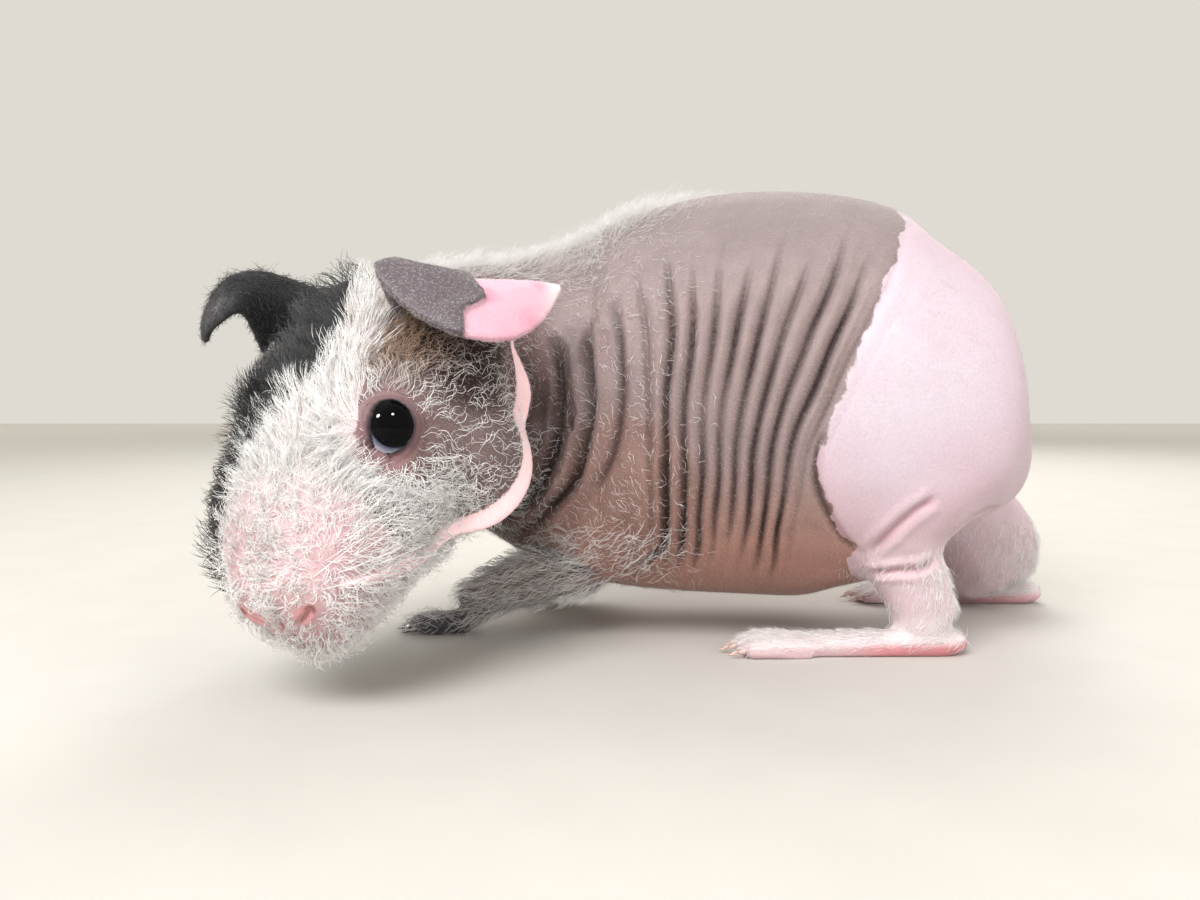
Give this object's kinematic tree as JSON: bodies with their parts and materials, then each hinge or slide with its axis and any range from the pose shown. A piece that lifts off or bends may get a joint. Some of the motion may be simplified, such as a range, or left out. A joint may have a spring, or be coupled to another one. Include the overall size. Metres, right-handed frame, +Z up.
{
  "type": "hairless guinea pig model",
  "caption": "Life-size still model of a young hairless guinea pig on all four feet, its head turned and lowered to one side.",
  "frame": {"origin": "middle of the whole model's box, on the floor under the feet", "axes": "+X towards the tail end, -Y towards the animal's left side, where its face is turned, +Z up"},
  "size_m": [0.1544, 0.0954, 0.082],
  "materials": {
    "skin": "bare velvety skin, taupe with pink rump and white face",
    "eye": "wet dark eye",
    "claw": "smooth horn",
    "coat": "short curly white and black hairs"
  },
  "bodies": {
    "root": {"head": "skin", "neck": "skin", "trunk": "skin", "ear_left": "skin", "ear_right": "skin", "eye_left": "eye", "eye_right": "eye", "fore_left_upper": "skin", "fore_left_lower": "skin", "fore_left_foot": "skin", "fore_right_upper": "skin", "fore_right_lower": "skin", "fore_right_foot": "skin", "hind_left_upper": "skin", "hind_left_lower": "skin", "hind_left_foot": "skin", "hind_right_upper": "skin", "hind_right_lower": "skin", "hind_right_foot": "skin", "fore_left_claw_1": "claw", "fore_left_claw_2": "claw", "fore_left_claw_3": "claw", "fore_left_claw_4": "claw", "fore_right_claw_1": "claw", "fore_right_claw_2": "claw", "fore_right_claw_3": "claw", "fore_right_claw_4": "claw", "hind_left_claw_1": "claw", "hind_left_claw_2": "claw", "hind_left_claw_3": "claw", "hind_right_claw_1": "claw", "hind_right_claw_2": "claw", "hind_right_claw_3": "claw"}
  },
  "joints": []
}
